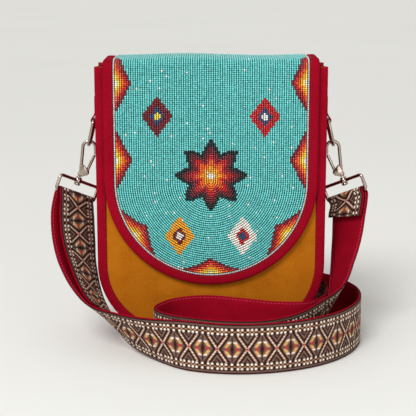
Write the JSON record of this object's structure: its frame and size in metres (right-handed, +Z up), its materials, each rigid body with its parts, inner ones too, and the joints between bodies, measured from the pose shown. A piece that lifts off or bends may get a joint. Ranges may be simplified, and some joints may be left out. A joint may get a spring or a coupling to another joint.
{
  "type": "beaded crossbody bag",
  "caption": "Felt crossbody bag with bound edges, a beaded flap over its mouth, snap hooks at its sides and a wide patterned strap lying looped round its foot.",
  "frame": {"origin": "middle of the foot of the bag, on the surface it stands on, without the strap", "axes": "+Z up, -Y out of the beaded front, +X to the right as seen from the front"},
  "size_m": [0.3145, 0.1985, 0.2798],
  "materials": {
    "ochre_felt": "wool felt",
    "red_cloth": "cotton twill",
    "turquoise_beads": "glass seed beads",
    "pale_beads": "glass seed beads",
    "fire_beads": "glass seed beads",
    "maroon_beads": "glass seed beads",
    "amber_beads": "glass seed beads",
    "nickel_hardware": "polished nickel plate",
    "woven_ribbon": "woven jacquard ribbon"
  },
  "bodies": {
    "bag": {"front_panel": "ochre_felt", "back_panel": "ochre_felt", "front_binding": "red_cloth", "back_binding": "red_cloth", "gusset": "red_cloth", "flap_backing": "ochre_felt", "flap_binding": "red_cloth", "bead_field": "turquoise_beads", "centre_bead_lane": "turquoise_beads", "edge_bead_row": "pale_beads", "fire_motif_foot": "fire_beads", "fire_motif_low_left": "fire_beads", "fire_motif_low_right": "fire_beads", "fire_motif_middle_left": "fire_beads", "fire_motif_middle_right": "fire_beads", "fire_motif_high_left": "fire_beads", "fire_motif_high_right": "fire_beads", "star_motif": "maroon_beads", "diamond_motif_upper_left": "amber_beads", "diamond_motif_upper_right": "amber_beads", "diamond_motif_lower_left": "amber_beads", "diamond_motif_lower_right": "amber_beads", "left_ring_tab": "red_cloth", "right_ring_tab": "red_cloth", "left_d_ring": "nickel_hardware", "right_d_ring": "nickel_hardware", "left_hook": "nickel_hardware", "right_hook": "nickel_hardware", "left_gate_pin": "nickel_hardware", "right_gate_pin": "nickel_hardware", "left_swivel_post": "nickel_hardware", "right_swivel_post": "nickel_hardware", "left_strap_ring": "nickel_hardware", "right_strap_ring": "nickel_hardware", "strap_backing": "red_cloth", "strap_ribbon": "woven_ribbon", "left_strap_tail": "woven_ribbon", "right_strap_tab": "woven_ribbon"},
    "left_gate": {"left_gate": "nickel_hardware"},
    "right_gate": {"right_gate": "nickel_hardware"}
  },
  "joints": [
    {"name": "left_gate_hinge", "type": "hinge", "parent": "bag", "child": "left_gate", "pos_m": [-0.1242, 0, 0.1639], "axis": [0, -1, 0], "range_deg": [0, 20], "stiffness_Nm_per_rad": 0.02, "springref_deg": -5.73},
    {"name": "right_gate_hinge", "type": "hinge", "parent": "bag", "child": "right_gate", "pos_m": [0.1242, 0, 0.1639], "axis": [0, 1, 0], "range_deg": [0, 20], "stiffness_Nm_per_rad": 0.02, "springref_deg": -5.73}
  ]
}
